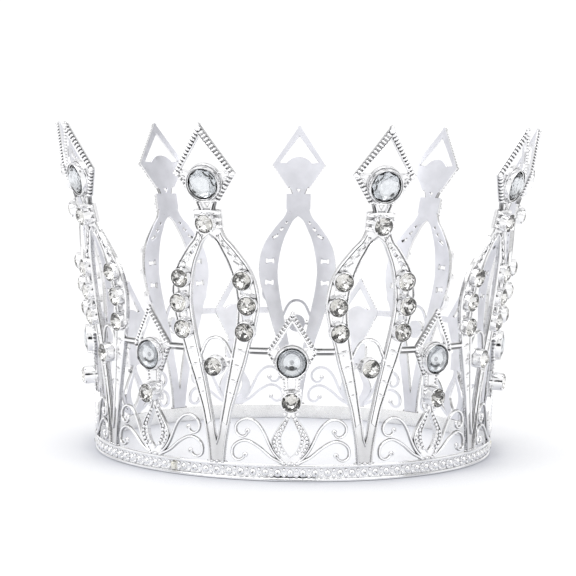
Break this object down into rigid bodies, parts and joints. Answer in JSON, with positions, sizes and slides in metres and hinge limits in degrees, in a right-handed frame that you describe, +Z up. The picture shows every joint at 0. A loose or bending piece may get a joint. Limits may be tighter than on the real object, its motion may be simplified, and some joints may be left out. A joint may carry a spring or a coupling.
{
  "type": "crown",
  "caption": "Full-round silver filigree crown, open at the top, with alternating tall and small stone-set kite spires brazed to a beaded base band.",
  "frame": {"origin": "centre of the head opening, on the plane that the base band stands on", "axes": "+Z runs up the crown's axis, -Y is the front through the middle of a small spire, and +X is the wearer's left when the small spire faces forward"},
  "size_m": [0.1758, 0.1731, 0.1142],
  "materials": {
    "plated_casting": "bright silver plate over a zinc alloy casting",
    "braze_metal": "pale brazing metal, lightly polished",
    "foiled_crystal": "clear cut crystal with a foiled point back",
    "grey_crystal": "clear cut crystal with a silver foiled flat back"
  },
  "bodies": {
    "root": {"base_band_arc_1": "plated_casting", "base_band_arc_2": "plated_casting", "base_band_arc_3": "plated_casting", "tall_spire_1": "plated_casting", "tall_spire_2": "plated_casting", "tall_spire_3": "plated_casting", "tall_spire_4": "plated_casting", "tall_spire_5": "plated_casting", "tall_spire_6": "plated_casting", "tall_spire_7": "plated_casting", "tall_spire_8": "plated_casting", "tall_spire_9": "plated_casting", "small_spire_1": "plated_casting", "small_spire_2": "plated_casting", "small_spire_3": "plated_casting", "small_spire_4": "plated_casting", "small_spire_5": "plated_casting", "small_spire_6": "plated_casting", "small_spire_7": "plated_casting", "small_spire_8": "plated_casting", "small_spire_9": "plated_casting", "band_splice_tabs": "braze_metal", "tall_neck_chatons": "foiled_crystal", "small_neck_chatons": "foiled_crystal", "arch_chatons": "foiled_crystal", "upper_band_chatons": "foiled_crystal", "middle_band_chatons": "foiled_crystal", "lower_band_chatons": "foiled_crystal", "tall_crest_gems": "grey_crystal", "small_crest_gems": "grey_crystal"}
  },
  "joints": []
}
